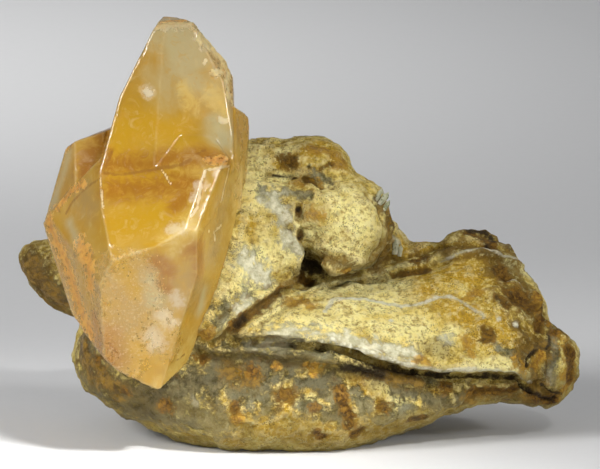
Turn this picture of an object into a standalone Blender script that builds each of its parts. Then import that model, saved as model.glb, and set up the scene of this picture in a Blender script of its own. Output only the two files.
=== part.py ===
"""A loose cabinet specimen: honey-coloured calcite crystals on the stone that they grew on.

Two pieces. calcite_crystals is a group of crystals grown into one another, and matrix_stone is
the long, knobbly lump of rock under and behind them. The stone rests on a flat worn base at z = 0,
under the middle of the specimen's bounding box. X runs to the right along the specimen, Y runs
away from its front, and Z is up.
"""

import math

import bmesh
import bpy
import numpy as np
from mathutils import Matrix, Vector

MM = 0.001

# Driving dimensions, in millimetres
CONTACT_GAP = 0.3
STONE_VOXEL = 0.9
LUMP_DEPTH, LUMP_SIZE = 1.9, 8.0
PIT_DEPTH, PIT_SIZE = 1.1, 3.0
# From the middle of the bounding box to where x and y are 0 in the tables below
OFFSET = (0.01, 4.63, 0.0)
STONE_TRIANGLES = 8200
SECTION_SIDES = 28
SPAN_STEPS = 6
# How far each loft's sections are squared off: 2 is an ellipse, more is nearer a box
SQUARENESS = {"keel": 2.4, "spur": 2.8, "shelf": 3.0}
# The side of a block larger than the whole specimen, which the crystals and the base are cut with
BLOCK = 400.0

# The stone's lobes. A row along X is x, front y, back y, lowest z, highest z
KEEL = [
    (-40.5, -4.0, 6.0, 12.0, 17.0),
    (-38.5, -9.0, 12.0, 8.0, 20.0),
    (-31.0, -15.0, 18.0, 3.5, 22.0),
    (-20.0, -19.0, 21.0, -1.0, 21.5),
    (-8.0, -20.5, 22.0, -3.0, 21.5),
    (4.0, -20.0, 22.0, -3.0, 20.5),
    (14.0, -18.0, 20.0, -0.5, 17.0),
    (24.0, -14.5, 17.0, 3.5, 13.5),
    (34.0, -11.5, 14.0, 6.5, 13.0),
    (43.0, -8.0, 10.0, 6.0, 12.0),
    (48.5, -4.0, 5.0, 6.0, 11.0),
]
# A row of the shelf is x, the lip's y and z, the crest's y and z, and the thickness
SHELF = [
    (-21.0, -17.0, 21.5, -10.0, 23.0, 2.0),
    (-16.0, -20.5, 21.5, -8.0, 24.5, 6.0),
    (-8.0, -22.0, 22.5, -6.0, 27.0, 9.0),
    (2.0, -22.0, 22.0, -4.0, 28.5, 11.0),
    (10.0, -21.5, 20.5, -1.0, 29.0, 13.0),
    (18.0, -20.0, 17.5, 1.0, 30.0, 14.0),
    (25.0, -18.0, 15.8, 2.5, 31.5, 14.0),
    (32.0, -16.5, 15.2, 4.0, 32.0, 14.0),
    (38.5, -14.5, 15.0, 4.0, 29.5, 14.0),
    (43.0, -11.5, 12.5, 3.5, 24.5, 12.0),
    (47.0, -7.0, 9.5, 2.5, 18.5, 9.0),
    (49.8, -2.5, 10.5, 1.5, 14.5, 4.0),
]
# The slab is half as thick at its lip, and sags under the line from lip to crest
LIP_THINNING = 0.5
THINNED_SPAN = 0.9
SAG = 0.8
KNOB = [
    (-50.5, 6.0, 10.0, 28.0, 31.0),
    (-49.0, 3.5, 12.5, 25.8, 33.2),
    (-45.0, 2.0, 14.0, 22.5, 34.2),
    (-38.0, 0.0, 15.0, 19.0, 33.0),
    (-26.0, 0.0, 16.0, 14.0, 36.0),
]
# A row upward is z, left x, right x, front y, back y
SPUR = [
    (16.0, -30.0, -12.0, -12.0, 14.0),
    (24.0, -32.0, -4.0, -12.0, 15.0),
    (32.0, -32.0, 0.0, -10.0, 15.0),
    (41.0, -30.0, 1.5, -6.5, 14.0),
    (49.0, -27.0, -2.0, -4.0, 12.0),
    (53.0, -20.0, -9.0, 0.0, 8.0),
]
# The broken plate on the front of the spur, between the crystals and the shelf
PLATE = [
    (-17.5, -20.5, 20.6),
    (-10.8, -18.5, 24.4),
    (-1.6, -13.0, 29.1),
    (0.8, -10.5, 32.6),
    (2.2, -9.0, 40.8),
    (0.5, -7.0, 45.9),
    (-6.8, -8.0, 48.5),
    (-12.5, -12.0, 48.5),
    (-16.0, -18.0, 28.4),
]
PLATE_THICKNESS = 4.5
# Rounded lobes: centre and radii
NODULES = {
    "upper": ((1.2, 4.0, 47.6), (8.4, 8.0, 6.0)),
    "upper_left": ((-6.5, 3.0, 48.5), (5.0, 7.0, 5.0)),
    "round": ((8.3, -1.5, 38.8), (8.3, 9.0, 8.9)),
    "round_shoulder": ((4.2, -4.5, 42.0), (4.5, 6.0, 5.0)),
    "behind_hollow": ((8.0, 9.0, 31.0), (12.0, 8.0, 10.0)),
    "hollow_floor": ((-1.0, 3.0, 29.0), (9.0, 7.0, 6.5)),
    "ridge": ((31.0, 8.0, 26.0), (9.5, 8.0, 9.6)),
    "ridge_left": ((21.0, 7.5, 25.0), (8.0, 8.0, 8.3)),
    "right_end": ((44.0, 0.5, 12.5), (6.1, 9.0, 8.0)),
    "right_knuckle": ((39.0, 4.0, 20.0), (5.8, 8.0, 8.0)),
    "back_left": ((-24.0, 11.0, 30.0), (13.0, 9.0, 11.0)),
    "back_low_left": ((-16.0, 15.0, 13.0), (15.0, 9.0, 10.0)),
    "back_middle": ((2.0, 13.0, 22.0), (15.0, 8.0, 11.0)),
    "back_low_right": ((14.0, 14.0, 12.0), (14.0, 8.5, 9.5)),
    "back_right": ((30.0, 10.0, 17.0), (13.0, 8.0, 8.5)),
    "crystal_left": ((14.9, 3.0, 43.0), (1.0, 1.2, 2.8)),
    "crystal_right": ((17.0, 4.0, 33.0), (1.0, 1.0, 2.4)),
}
HOLLOW = ((1.8, -8.0, 31.0), (3.2, 7.0, 2.2))
# The crevice under the shelf's lip, from left to right, and how far it reaches in and how wide it is
CREVICE = [
    (-21.0, -24.0, 19.4),
    (-11.7, -24.0, 20.0),
    (-1.8, -24.0, 19.6),
    (6.3, -23.5, 18.9),
    (10.8, -22.5, 17.2),
    (18.0, -20.5, 14.2),
    (25.2, -18.5, 12.4),
    (31.0, -17.0, 12.0),
    (38.5, -15.0, 11.4),
    (43.0, -12.0, 8.8),
    (47.0, -9.0, 6.0),
]
CREVICE_REACH = 8.0
CREVICE_WIDTH = 3.2
# Narrow grooves: a path and a radius
GROOVES = {
    "under_plate": (
        [(-16.5, -20.5, 20.6), (-10.0, -18.0, 23.9), (-4.0, -14.8, 26.8), (0.8, -11.0, 29.6)],
        0.9,
    ),
    "round_nodule": (
        [(3.2, -9.5, 34.5), (2.4, -9.0, 40.0), (3.2, -7.5, 44.6), (5.6, -5.5, 46.8), (9.2, -2.0, 47.8)],
        1.0,
    ),
    "upper_crack": ([(-9.0, -7.5, 49.0), (-4.0, -7.0, 48.6), (2.0, -5.0, 48.2)], 0.6),
}
# The curled lip under the round nodule: a path and a radius
CURL = [(4.0, -8.6, 35.4), (4.2, -9.6, 33.4), (6.2, -10.0, 32.0), (9.0, -9.2, 31.8), (11.4, -7.6, 32.8)]
CURL_RADIUS = 1.1

# Corners of the crystals, in millimetres. Each face is the flat plane that fits its corners best
TALL_CRYSTAL = {
    "tip_left": (-25.6, -12.0, 77.6),
    "tip_front": (-23.4, -12.6, 77.6),
    "tip_right": (-20.0, -10.0, 77.6),
    "tip_back": (-23.0, -5.0, 77.6),
    "tip_far": (-17.1, -9.0, 75.9),
    "tip_corner": (-26.2, -13.0, 76.6),
    "left_mid": (-32.0, -16.2, 65.4),
    "left_low": (-35.8, -20.8, 52.2),
    "ridge_mid": (-26.5, -18.5, 62.9),
    "ridge_low": (-25.4, -22.0, 53.3),
    "rough_top": (-18.0, -10.6, 74.6),
    "rough_mid": (-14.0, -12.0, 68.3),
    "right_bend": (-12.1, -6.5, 68.2),
    "right_waist": (-11.9, -8.0, 62.0),
    "right_low": (-11.3, -16.2, 54.7),
    "back_left": (-34.0, -2.0, 56.0),
    "back_right": (-11.5, -1.0, 58.0),
    "back_mid": (-24.0, 4.0, 56.0),
    "root_left": (-34.0, -14.0, 48.4),
    "root_right": (-12.0, -14.0, 50.9),
    "root_back": (-24.0, 0.0, 46.0),
}
TALL_FACES = [
    ("tip_left", "tip_front", "tip_right", "tip_back"),
    ("tip_front", "left_low", "ridge_mid", "ridge_low"),
    ("tip_front", "ridge_mid", "ridge_low", "rough_mid", "right_low"),
    ("rough_top", "tip_far", "right_bend", "rough_mid"),
    ("rough_mid", "right_bend", "right_waist", "right_low"),
    ("tip_right", "tip_far", "right_bend", "tip_back"),
    ("right_bend", "right_waist", "back_right"),
    ("tip_corner", "left_mid", "back_left"),
    ("left_mid", "left_low", "back_left"),
    ("tip_back", "back_left", "back_mid"),
    ("tip_back", "tip_far", "back_right", "back_mid"),
    ("back_left", "back_mid", "root_back"),
    ("back_mid", "back_right", "root_back"),
    ("root_left", "root_right", "root_back"),
]
FRONT_CRYSTAL = {
    "brow_left": (-35.6, -21.0, 52.2),
    "brow_mid": (-25.4, -22.0, 53.3),
    "brow_right": (-12.1, -20.2, 53.9),
    "ledge_back": (-16.0, -15.9, 58.4),
    "shoulder_low": (-35.3, -25.6, 46.7),
    "shoulder_left": (-43.9, -14.0, 44.7),
    "left_high": (-46.1, -10.0, 40.6),
    "cheek": (-40.1, -22.6, 39.0),
    "rim_high": (-36.2, -32.1, 39.2),
    "rim_low": (-35.6, -27.7, 23.6),
    "rim_foot": (-36.9, -27.0, 21.8),
    "belly_left": (-33.3, -32.6, 38.8),
    "belly_mid": (-25.7, -32.1, 41.1),
    "belly_notch": (-22.9, -31.8, 42.1),
    "belly_right": (-18.3, -27.6, 35.2),
    "belly_end": (-14.4, -17.0, 31.8),
    "right_high": (-9.3, -10.5, 48.2),
    "right_mid": (-12.8, -10.0, 35.7),
    "low_side": (-17.5, -22.1, 22.4),
    "tip_left": (-25.7, -23.8, 13.7),
    "tip_right": (-21.1, -21.5, 14.7),
    "heel": (-19.1, -17.0, 19.0),
    "left_low": (-40.5, -17.0, 24.8),
    "left_foot": (-32.6, -26.5, 17.5),
    "foot_mid": (-29.3, -26.2, 15.7),
    "pane_top": (-16.9, -23.5, 53.4),
    "pane_low": (-19.6, -29.1, 46.1),
    "dark_right": (-15.7, -28.3, 43.0),
    "keel_low": (-27.2, -26.1, 16.7),
    "back_top": (-12.0, 0.0, 50.0),
    "back_left": (-40.0, 0.0, 40.0),
    "back_right": (-14.0, 0.0, 40.0),
    "back_low": (-28.0, -10.0, 19.0),
}
FRONT_FACES = [
    ("pane_top", "brow_right", "ledge_back"),
    ("brow_left", "brow_mid", "pane_top", "pane_low", "belly_mid", "belly_left"),
    ("pane_top", "pane_low", "brow_right", "dark_right"),
    ("brow_right", "dark_right", "right_high"),
    ("right_high", "right_mid", "belly_end"),
    ("brow_right", "right_high", "back_top"),
    ("belly_notch", "belly_right", "dark_right"),
    ("belly_right", "belly_end", "low_side"),
    ("dark_right", "belly_right", "belly_end"),
    ("brow_left", "shoulder_low", "shoulder_left"),
    ("shoulder_low", "belly_left", "cheek"),
    ("rim_high", "rim_low", "left_high", "left_low"),
    ("belly_left", "belly_mid", "keel_low"),
    ("belly_mid", "belly_right", "keel_low"),
    ("low_side", "heel", "right_mid", "belly_end"),
    ("shoulder_left", "left_high", "back_left"),
    ("left_high", "left_low", "back_left"),
    ("left_low", "rim_foot", "left_foot"),
    ("left_foot", "foot_mid", "tip_left", "back_low"),
    ("tip_left", "tip_right", "back_low"),
    ("tip_right", "low_side", "heel"),
    ("right_mid", "heel", "back_right"),
    ("right_high", "right_mid", "back_right"),
    ("back_left", "back_right", "back_low"),
]
LEFT_CRYSTAL = {
    "corner": (-41.9, -9.0, 54.4),
    "top_left": (-40.3, -12.0, 56.1),
    "top_right": (-34.6, -9.0, 58.1),
    "low_left": (-45.9, -10.0, 40.6),
    "edge_low": (-40.2, -15.8, 50.0),
    "low_right": (-36.2, -15.0, 51.6),
    "back_left": (-44.0, -3.0, 44.0),
    "back_top": (-38.0, 0.0, 56.0),
    "back_right": (-30.0, 1.0, 57.0),
    "root_left": (-46.0, -10.0, 41.0),
    "root_right": (-36.0, -17.0, 46.4),
    "root_back": (-36.0, 2.0, 40.0),
}
LEFT_FACES = [
    ("corner", "top_left", "top_right"),
    ("corner", "top_left", "edge_low", "low_left"),
    ("top_left", "top_right", "low_right", "edge_low"),
    ("corner", "low_left", "back_left"),
    ("corner", "top_right", "back_top", "back_right"),
    ("corner", "back_left", "back_top"),
    ("back_left", "back_top", "root_back"),
    ("top_right", "back_right", "root_right"),
    ("back_top", "back_right", "root_back"),
    ("root_left", "root_right", "root_back"),
]
RIGHT_CRYSTAL = {
    "top_left": (-12.2, -9.0, 61.6),
    "top": (-10.2, -7.0, 61.2),
    "corner": (-8.5, -5.0, 59.2),
    "waist": (-9.2, -4.0, 53.5),
    "low": (-9.9, -6.0, 44.2),
    "left_mid": (-11.3, -13.0, 54.3),
    "left_low": (-10.4, -13.0, 48.6),
    "back_high": (-13.0, 3.0, 57.0),
    "back_low": (-13.0, 3.0, 40.0),
    "root_front": (-13.0, -10.0, 40.0),
    "inside_high": (-20.0, -4.0, 62.0),
    "inside_low": (-20.0, -4.0, 40.0),
}
RIGHT_FACES = [
    ("top_left", "top", "corner", "back_high"),
    ("top_left", "corner", "waist", "left_mid", "left_low"),
    ("waist", "low", "left_low"),
    ("corner", "waist", "back_high"),
    ("waist", "low", "back_low"),
    ("top_left", "left_mid", "inside_high"),
    ("left_mid", "left_low", "root_front", "inside_low"),
    ("low", "root_front", "back_low"),
    ("back_high", "back_low", "inside_low"),
    ("inside_high", "inside_low", "back_high"),
]
CRYSTALS = {
    "tall": (TALL_CRYSTAL, TALL_FACES),
    "front": (FRONT_CRYSTAL, FRONT_FACES),
    "left": (LEFT_CRYSTAL, LEFT_FACES),
    "right": (RIGHT_CRYSTAL, RIGHT_FACES),
}


def clear_scene():
    for thing in list(bpy.data.objects):
        bpy.data.objects.remove(thing)


def collection_named(name):
    made = bpy.data.collections.new(name)
    bpy.context.scene.collection.children.link(made)
    return made


def material(name, colour, roughness):
    made = bpy.data.materials.new(name)
    made.use_nodes = True
    shader = made.node_tree.nodes["Principled BSDF"]
    shader.inputs["Base Color"].default_value = (*colour, 1.0)
    shader.inputs["Roughness"].default_value = roughness
    shader.inputs["Metallic"].default_value = 0.0
    return made


def object_from(bm, name, collection):
    mesh = bpy.data.meshes.new(name)
    bm.to_mesh(mesh)
    bm.free()
    made = bpy.data.objects.new(name, mesh)
    collection.objects.link(made)
    return made


def smooth_rows(rows):
    """The rows with SPAN_STEPS times as many, on a smooth curve through each column."""
    rows = np.array(rows, float)
    padded = np.vstack([2 * rows[0] - rows[1], rows, 2 * rows[-1] - rows[-2]])
    found = []
    for k in range(len(rows) - 1):
        a, b, c, d = padded[k : k + 4]
        for t in np.arange(SPAN_STEPS) / SPAN_STEPS:
            found.append(
                0.5
                * (
                    2 * b
                    + (c - a) * t
                    + (2 * a - 5 * b + 4 * c - d) * t**2
                    + (3 * b - a - 3 * c + d) * t**3
                )
            )
    found.append(rows[-1])
    return found


def rounded_ring(centre, half_a, half_b, squareness):
    """A closed ring of points: an ellipse on two half axes, squared off a little."""
    ring = []
    for k in range(SECTION_SIDES):
        angle = 2 * math.pi * k / SECTION_SIDES
        c, s = math.cos(angle), math.sin(angle)
        along = math.copysign(abs(c) ** (2 / squareness), c)
        across = math.copysign(abs(s) ** (2 / squareness), s)
        ring.append(centre + half_a * along + half_b * across)
    return ring


def lofted(bm, rings):
    """A closed skin over rings of points, with a flat cap at each end."""
    made = [[bm.verts.new(p * MM) for p in ring] for ring in rings]
    for low, high in zip(made, made[1:]):
        for k in range(SECTION_SIDES):
            n = (k + 1) % SECTION_SIDES
            bm.faces.new((low[k], low[n], high[n], high[k]))
    bm.faces.new(made[0])
    bm.faces.new(made[-1])


def ring_across_x(row):
    x, front, back, low, high = row
    centre = Vector((x, (front + back) / 2, (low + high) / 2))
    half_depth = Vector((0, (back - front) / 2, 0))
    half_height = Vector((0, 0, (high - low) / 2))
    return rounded_ring(centre, half_depth, half_height, SQUARENESS["keel"])


def ring_across_z(row):
    z, left, right, front, back = row
    centre = Vector(((left + right) / 2, (front + back) / 2, z))
    half_width = Vector(((right - left) / 2, 0, 0))
    half_depth = Vector((0, (back - front) / 2, 0))
    return rounded_ring(centre, half_width, half_depth, SQUARENESS["spur"])


def ring_of_shelf(row):
    x, lip_y, lip_z, crest_y, crest_z, thick = row
    lip, crest = Vector((x, lip_y, lip_z)), Vector((x, crest_y, crest_z))
    along = (crest - lip) / 2
    down = Vector((0, along.z, -along.y)).normalized() * thick / 2
    middle = (lip + crest) / 2
    ring = []
    for point in rounded_ring(middle, along, down, SQUARENESS["shelf"]):
        part_way = (point - middle).dot(along) / along.length_squared
        thinned = LIP_THINNING + (1 - LIP_THINNING) * min(1.0, (part_way + 1.0) / THINNED_SPAN)
        across = (point - middle).dot(down) / down.length_squared
        ring.append(middle + along * part_way + down * (across + SAG) * thinned)
    return ring


def add_ellipsoid(bm, centre, radii, segments=32):
    place = Matrix.Translation(Vector(centre) * MM) @ Matrix.Diagonal((*(Vector(radii) * MM), 1.0))
    bmesh.ops.create_uvsphere(bm, u_segments=segments, v_segments=segments // 2, radius=1.0, matrix=place)


def add_slab(bm, outline, thickness):
    """A slab with its front on the outline's corners, its thickness behind them."""
    points = [Vector(p) * MM for p in outline]
    middle = sum(points, Vector()) / len(points)
    normal = Vector()
    for a, b in zip(points, points[1:] + points[:1]):
        normal += (a - middle).cross(b - middle)
    normal.normalize()
    if normal.y < 0:
        normal = -normal
    front = [bm.verts.new(p) for p in points]
    back = [bm.verts.new(p + normal * thickness * MM) for p in points]
    bm.faces.new(front)
    bm.faces.new(back)
    for k in range(len(points)):
        n = (k + 1) % len(points)
        bm.faces.new((front[k], front[n], back[n], back[k]))


def tube_mesh(path, radius, name):
    """A round tube along a smooth path, closed at its ends."""
    curve = bpy.data.curves.new(name, "CURVE")
    curve.dimensions = "3D"
    curve.bevel_depth = radius * MM
    curve.bevel_resolution = 2
    curve.use_fill_caps = True
    spline = curve.splines.new("POLY")
    points = smooth_rows(path)
    spline.points.add(len(points) - 1)
    for point, place in zip(spline.points, points):
        point.co = (*(Vector(place) * MM), 1.0)
    made = bpy.data.objects.new(name, curve)
    bpy.context.scene.collection.objects.link(made)
    bpy.context.view_layer.update()
    graph = bpy.context.evaluated_depsgraph_get()
    mesh = bpy.data.meshes.new_from_object(made.evaluated_get(graph))
    bpy.data.objects.remove(made)
    bm = bmesh.new()
    bm.from_mesh(mesh)
    bmesh.ops.remove_doubles(bm, verts=bm.verts, dist=0.001 * MM)
    bm.to_mesh(mesh)
    bm.free()
    return mesh


def stone_lobes(collection):
    bm = bmesh.new()
    add_slab(bm, PLATE, PLATE_THICKNESS)
    lofted(bm, [ring_across_x(row) for row in smooth_rows(KEEL)])
    lofted(bm, [ring_of_shelf(row) for row in smooth_rows(SHELF)])
    lofted(bm, [ring_across_x(row) for row in smooth_rows(KNOB)])
    lofted(bm, [ring_across_z(row) for row in smooth_rows(SPUR)])
    for centre, radii in NODULES.values():
        add_ellipsoid(bm, centre, radii)
    bm.from_mesh(tube_mesh(CURL, CURL_RADIUS, "curl"))
    bmesh.ops.recalc_face_normals(bm, faces=bm.faces)
    return object_from(bm, "matrix_stone", collection)


def displaced(thing, name, depth, size, depth_levels):
    texture = bpy.data.textures.new(name, "CLOUDS")
    texture.noise_scale = size * MM
    texture.noise_depth = depth_levels
    texture.noise_basis = "BLENDER_ORIGINAL"
    modifier = thing.modifiers.new(name, "DISPLACE")
    modifier.texture = texture
    modifier.texture_coords = "GLOBAL"
    modifier.strength = depth * MM
    modifier.mid_level = 0.5
    return modifier


def cut_by(thing, cutter, name):
    cutter.hide_render = True
    cutter.display_type = "WIRE"
    modifier = thing.modifiers.new(name, "BOOLEAN")
    modifier.operation = "DIFFERENCE"
    modifier.solver = "EXACT"
    modifier.object = cutter


def baked(thing):
    """thing with its modifiers made part of its mesh."""
    bpy.context.view_layer.update()
    graph = bpy.context.evaluated_depsgraph_get()
    mesh = bpy.data.meshes.new_from_object(thing.evaluated_get(graph))
    thing.modifiers.clear()
    thing.data = mesh
    return thing


def best_plane(points, inside):
    """A point and the outward normal of the plane that fits points best."""
    middle = points.mean(axis=0)
    normal = np.linalg.svd(points - middle)[2][2]
    if np.dot(normal, middle - inside) < 0:
        normal = -normal
    return Vector(middle), Vector(normal)


def crystal(name, corners, faces, collection, grow=0.0):
    """The convex crystal between its faces' planes, each moved out by grow."""
    inside = np.mean(list(corners.values()), axis=0)
    bm = bmesh.new()
    bmesh.ops.create_cube(bm, size=BLOCK * MM)
    for face in faces:
        point, normal = best_plane(np.array([corners[n] for n in face]), inside)
        cut = bmesh.ops.bisect_plane(
            bm,
            geom=bm.verts[:] + bm.edges[:] + bm.faces[:],
            plane_co=(point + normal * grow) * MM,
            plane_no=normal,
            clear_outer=True,
        )
        rim = [e for e in cut["geom_cut"] if isinstance(e, bmesh.types.BMEdge)]
        if rim:
            bmesh.ops.contextual_create(bm, geom=rim)
    bmesh.ops.recalc_face_normals(bm, faces=bm.faces)
    return object_from(bm, name, collection)


def fused(thing, name):
    remesh = thing.modifiers.new(name, "REMESH")
    remesh.mode = "VOXEL"
    remesh.voxel_size = STONE_VOXEL * MM


def hollows(collection):
    """The cutters of the stone's hollow, its crevice and its grooves."""
    bm = bmesh.new()
    add_ellipsoid(bm, *HOLLOW)
    yield object_from(bm, "hollow_cutter", collection)
    bm = bmesh.new()
    rings = []
    for x, y, z in smooth_rows(CREVICE):
        reach = Vector((0, CREVICE_REACH, CREVICE_WIDTH / 2))
        rings.append(rounded_ring(Vector((x, y, z)), reach, Vector((0, 0, CREVICE_WIDTH / 2)), 2.0))
    lofted(bm, rings)
    bmesh.ops.recalc_face_normals(bm, faces=bm.faces)
    yield object_from(bm, "crevice_cutter", collection)
    for name, (path, radius) in GROOVES.items():
        groove = bpy.data.objects.new(name + "_cutter", tube_mesh(path, radius, name))
        collection.objects.link(groove)
        yield groove


def build():
    clear_scene()
    parts = collection_named("calcite_specimen")
    cutters = collection_named("cutters")

    stone = stone_lobes(parts)
    fused(stone, "fuse")
    for cutter in hollows(cutters):
        cut_by(stone, cutter, cutter.name)
    baked(stone)
    fused(stone, "refuse")
    smooth = stone.modifiers.new("soften", "SMOOTH")
    smooth.factor = 0.5
    smooth.iterations = 3
    displaced(stone, "lumps", LUMP_DEPTH, LUMP_SIZE, 2)
    displaced(stone, "pits", PIT_DEPTH, PIT_SIZE, 1)
    baked(stone)
    thin = stone.modifiers.new("thin", "DECIMATE")
    thin.ratio = STONE_TRIANGLES / (len(stone.data.polygons) * 2)
    thin.use_collapse_triangulate = True

    bm = bmesh.new()
    bmesh.ops.create_cube(bm, size=BLOCK * MM, matrix=Matrix.Translation((0, 0, -BLOCK / 2 * MM)))
    cut_by(stone, object_from(bm, "ground_cutter", cutters), "base")

    group = None
    for name, (corners, faces) in CRYSTALS.items():
        made = crystal(name, corners, faces, cutters)
        if group is None:
            group = made
            group.name = "calcite_crystals"
            cutters.objects.unlink(group)
            parts.objects.link(group)
        else:
            made.hide_render = True
            made.display_type = "WIRE"
            join = group.modifiers.new("join_" + name, "BOOLEAN")
            join.operation = "UNION"
            join.solver = "EXACT"
            join.object = made
        cut_by(stone, crystal(name + "_socket", corners, faces, cutters, CONTACT_GAP), name + "_socket")

    group.data.materials.append(material("honey_calcite", (0.62, 0.38, 0.10), 0.25))
    stone.data.materials.append(material("crusted_stone", (0.45, 0.37, 0.18), 0.75))

    middle = bpy.data.objects.new("middle", None)
    bpy.context.scene.collection.objects.link(middle)
    middle.location = Vector(OFFSET) * MM
    for thing in list(parts.objects) + list(cutters.objects):
        thing.parent = middle


build()
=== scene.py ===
import math

import bmesh
import bpy
import numpy as np
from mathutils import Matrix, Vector, noise
from mathutils.bvhtree import BVHTree
from mathutils.kdtree import KDTree


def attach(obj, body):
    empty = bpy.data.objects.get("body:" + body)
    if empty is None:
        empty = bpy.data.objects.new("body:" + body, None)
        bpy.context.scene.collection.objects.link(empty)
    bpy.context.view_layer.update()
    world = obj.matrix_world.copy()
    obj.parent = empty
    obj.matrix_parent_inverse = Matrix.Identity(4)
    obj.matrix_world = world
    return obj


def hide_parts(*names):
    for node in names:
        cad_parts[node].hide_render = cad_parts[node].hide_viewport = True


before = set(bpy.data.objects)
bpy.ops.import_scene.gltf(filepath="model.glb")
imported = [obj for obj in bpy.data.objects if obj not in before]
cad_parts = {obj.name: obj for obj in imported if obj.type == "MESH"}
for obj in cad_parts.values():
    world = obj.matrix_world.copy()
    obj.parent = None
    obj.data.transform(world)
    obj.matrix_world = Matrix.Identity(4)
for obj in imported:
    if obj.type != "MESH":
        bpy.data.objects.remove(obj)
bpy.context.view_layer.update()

MM = 0.001
# Vertices closer than this are one, in millimetres
WELD = 0.002


# Camera

# The photograph's width and height in pixels, and how wide it is at the specimen
WIDE, HIGH = 600, 469
FRAME_WIDTH = 108 * MM
TARGET = Vector((0.01, 4.63, 36.55)) * MM
ELEVATION = math.radians(12)
DISTANCE = 2000 * MM
BACK = Vector((0, -math.cos(ELEVATION), math.sin(ELEVATION)))
UP = Vector((0, math.sin(ELEVATION), math.cos(ELEVATION)))
EYE = TARGET + BACK * DISTANCE
# The width of the camera's sensor, in millimetres
SENSOR = 36

camera_data = bpy.data.cameras.new("camera")
camera_data.sensor_width = SENSOR
camera_data.lens = SENSOR * DISTANCE / FRAME_WIDTH
camera_data.clip_end = 10
camera = bpy.data.objects.new("camera", camera_data)
camera.location = EYE
camera.rotation_mode = "QUATERNION"
camera.rotation_quaternion = (-BACK).to_track_quat("-Z", "Y")
bpy.context.scene.collection.objects.link(camera)
bpy.context.scene.camera = camera


# Shader nodes

def plug(tree, socket, value):
    """Gives a socket its value: a link from another socket, a colour or a number."""
    if isinstance(value, bpy.types.NodeSocket):
        tree.links.new(value, socket)
    elif isinstance(value, tuple) and socket.type == "RGBA":
        socket.default_value = (*value, 1.0)
    else:
        socket.default_value = value


class Maker:
    """Short ways to add shader nodes to one material."""

    def __init__(self, name):
        self.material = bpy.data.materials.new(name)
        self.material.use_nodes = True
        self.tree = self.material.node_tree
        self.tree.nodes.clear()
        self.output = self.tree.nodes.new("ShaderNodeOutputMaterial")
        self.place = self.node("TexCoord").outputs["Object"]

    def node(self, kind, inputs=None, **settings):
        made = self.tree.nodes.new("ShaderNode" + kind)
        for key, value in settings.items():
            setattr(made, key, value)
        for key, value in (inputs or {}).items():
            plug(self.tree, made.inputs[key], value)
        return made

    def noise(self, size, detail=3.0, rough=0.55, distortion=0.0):
        """Smooth noise from 0 to 1, with lumps of about the given size in millimetres."""
        return self.node("TexNoise", {
            "Vector": self.place, "Scale": 1 / (size * MM), "Detail": detail,
            "Roughness": rough, "Distortion": distortion,
        }).outputs["Fac"]

    def cells(self, size):
        """The distance to the nearest of points scattered about a size apart, as a share of the size."""
        return self.node("TexVoronoi", {"Vector": self.place, "Scale": 1 / (size * MM)}).outputs["Distance"]

    def attribute(self, name):
        return self.node("Attribute", attribute_name=name).outputs["Fac"]

    def math(self, operation, a, b=0.0, c=0.0):
        return self.node("Math", {0: a, 1: b, 2: c}, operation=operation).outputs[0]

    def times(self, a, b):
        return self.math("MULTIPLY", a, b)

    def most(self, a, b):
        return self.math("MAXIMUM", a, b)

    def ramp(self, value, low, high, to_low=0.0, to_high=1.0):
        """A smooth step from to_low to to_high, where the value goes from low to high."""
        return self.node("MapRange", {
            "Value": value, "From Min": low, "From Max": high, "To Min": to_low, "To Max": to_high,
        }, interpolation_type="SMOOTHSTEP").outputs["Result"]

    def mix(self, share, a, b, blend="MIX"):
        made = self.node("Mix", {"Factor": share}, data_type="RGBA", blend_type=blend)
        plug(self.tree, made.inputs[6], a)
        plug(self.tree, made.inputs[7], b)
        return made.outputs[2]

    def mix_values(self, share, a, b):
        made = self.node("Mix", {"Factor": share}, data_type="FLOAT")
        plug(self.tree, made.inputs[2], a)
        plug(self.tree, made.inputs[3], b)
        return made.outputs[0]

    def shades(self, texture, first, second, low=0.38, high=0.62):
        """Two colours, mixed from the first to the second as a texture goes from low to high."""
        return self.mix(self.ramp(texture, low, high), first, second)

    def over(self, colour, tint, share, strength=1.0):
        """A colour with a tint laid over it, where and as strongly as the share says."""
        return self.mix(share if strength == 1 else self.times(share, strength), colour, tint)

    def layer(self, name, texture, wobble, soft):
        """Where a layer's marks are, their edges moved by a texture, and soft over a share of their width."""
        marks = self.attribute(name)
        reach = self.ramp(marks, 0.0, 0.4, to_high=wobble)
        shift = self.times(self.math("SUBTRACT", texture, 0.5), reach)
        return self.ramp(self.math("ADD", marks, shift), EDGE - soft / 2, EDGE + soft / 2)

    def bump(self, height, distance):
        return self.node("Bump", {"Height": height, "Distance": distance * MM}).outputs["Normal"]

    def finish(self, volume=None, **inputs):
        shader = self.node("BsdfPrincipled", {k.replace("_", " "): value for k, value in inputs.items()})
        self.tree.links.new(shader.outputs["BSDF"], self.output.inputs["Surface"])
        if volume:
            self.tree.links.new(volume, self.output.inputs["Volume"])
        return self.material


# Meshes

def rows_of(items, key):
    """One vector in each row, from all of a mesh's vertices or normals."""
    values = np.empty(len(items) * 3)
    items.foreach_get(key, values)
    return values.reshape(-1, 3)


def points_of(mesh):
    return rows_of(mesh.vertices, "co")


def normals_of(mesh):
    return rows_of(mesh.vertex_normals, "vector")


def put_back(mesh, points):
    mesh.vertices.foreach_set("co", points.astype(np.float32).ravel())
    mesh.update()


def object_of(mesh, name):
    thing = bpy.data.objects.new(name, mesh)
    bpy.context.scene.collection.objects.link(thing)
    return thing


def object_from(shape, name):
    """An object from a bmesh."""
    mesh = bpy.data.meshes.new(name)
    shape.to_mesh(mesh)
    shape.free()
    return object_of(mesh, name)


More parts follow.
